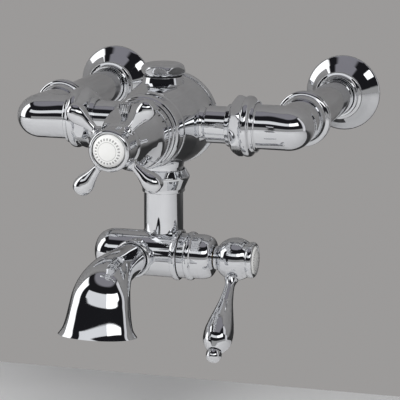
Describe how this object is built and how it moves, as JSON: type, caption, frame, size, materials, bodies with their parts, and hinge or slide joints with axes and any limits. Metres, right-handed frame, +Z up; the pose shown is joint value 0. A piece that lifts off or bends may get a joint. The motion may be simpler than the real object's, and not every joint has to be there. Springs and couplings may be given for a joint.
{
  "type": "wall mounted bath faucet",
  "caption": "Traditional chrome thermostatic wall mounted bath faucet with a cross handle, a teardrop flow lever and a flared bell spout below the mixing valve.",
  "frame": {"origin": "on the wall plane, midway between the two inlets, at the height of their axes", "axes": "+Z up, +Y into the wall, +X to the right of a person who faces the wall"},
  "size_m": [0.197, 0.2338, 0.1607],
  "materials": {
    "chrome": "mirror polished chrome plate",
    "rubber": "matte moulded rubber",
    "nylon": "moulded nylon",
    "steel": "drawn stainless wire",
    "brass": "machined brass",
    "ceramic": "lapped alumina ceramic",
    "copper": "drawn copper",
    "porcelain": "glazed white porcelain"
  },
  "bodies": {
    "faucet_body": {"wall_flange_left": "chrome", "wall_flange_right": "chrome", "wall_pipe_left": "chrome", "wall_pipe_right": "chrome", "elbow_left": "chrome", "elbow_right": "chrome", "union_nut_left": "chrome", "union_nut_right": "chrome", "valve_body": "chrome", "rear_cover": "chrome", "shoulder_ring": "chrome", "index_ring": "chrome", "top_cap": "chrome", "bottom_union_nut": "chrome", "down_pipe": "chrome", "flow_valve_body": "chrome", "flow_bonnet": "chrome", "spout_collar": "chrome", "spout": "chrome", "flange_seal_left": "rubber", "flange_seal_right": "rubber", "union_washer_left": "rubber", "union_washer_right": "rubber", "rear_seal": "rubber", "cap_washer": "rubber", "down_pipe_washer": "rubber", "check_valve_cage_left": "nylon", "check_valve_cage_right": "nylon", "cartridge_sleeve": "brass", "flow_cartridge": "brass", "fixed_ceramic_disc": "ceramic"},
    "handle": {"handle_body": "chrome", "handle_arm_1": "chrome", "handle_arm_2": "chrome", "handle_arm_3": "chrome", "handle_arm_4": "chrome", "handle_bezel": "chrome", "porcelain_button": "porcelain", "handle_screw": "steel", "temperature_spindle": "brass"},
    "override": {"override_button": "chrome", "override_spring": "steel"},
    "thermostat": {"thermostat_spool": "brass", "wax_element": "copper", "thermostat_spring": "steel"},
    "lever": {"lever_hub": "chrome", "lever_arm": "chrome", "lever_tip": "chrome", "lever_index_disc": "porcelain", "lever_screw": "steel", "flow_spindle": "brass", "turning_ceramic_disc": "ceramic"},
    "check_valve_left": {"check_valve_poppet_left": "nylon", "check_valve_spring_left": "steel"},
    "check_valve_right": {"check_valve_poppet_right": "nylon", "check_valve_spring_right": "steel"}
  },
  "joints": [
    {"name": "temperature_turn", "type": "hinge", "parent": "faucet_body", "child": "handle", "pos_m": [0, -0.2, 0], "axis": [0, -1, 0], "range_deg": [-210, 60]},
    {"name": "override_press", "type": "slide", "parent": "handle", "child": "override", "axis": [0.1564, 0, -0.9877], "range_m": [0, 0.0018], "stiffness_N_per_m": 250, "springref_m": -0.001},
    {"name": "thermostat_shift", "type": "slide", "parent": "faucet_body", "child": "thermostat", "axis": [0, -1, 0], "range_m": [-0.0013, 0.0005]},
    {"name": "lever_turn", "type": "hinge", "parent": "faucet_body", "child": "lever", "pos_m": [0.046, -0.142, -0.0767], "axis": [1, 0, 0], "range_deg": [-45, 45]},
    {"name": "check_open_left", "type": "slide", "parent": "faucet_body", "child": "check_valve_left", "axis": [1, 0, 0], "range_m": [0, 0.0025], "stiffness_N_per_m": 60, "springref_m": -0.001},
    {"name": "check_open_right", "type": "slide", "parent": "faucet_body", "child": "check_valve_right", "axis": [-1, 0, 0], "range_m": [0, 0.0025], "stiffness_N_per_m": 60, "springref_m": -0.001}
  ],
  "couplings": [
    {"joint": "thermostat_shift", "follows": "temperature_turn", "m_per_rad": 0.000318}
  ]
}
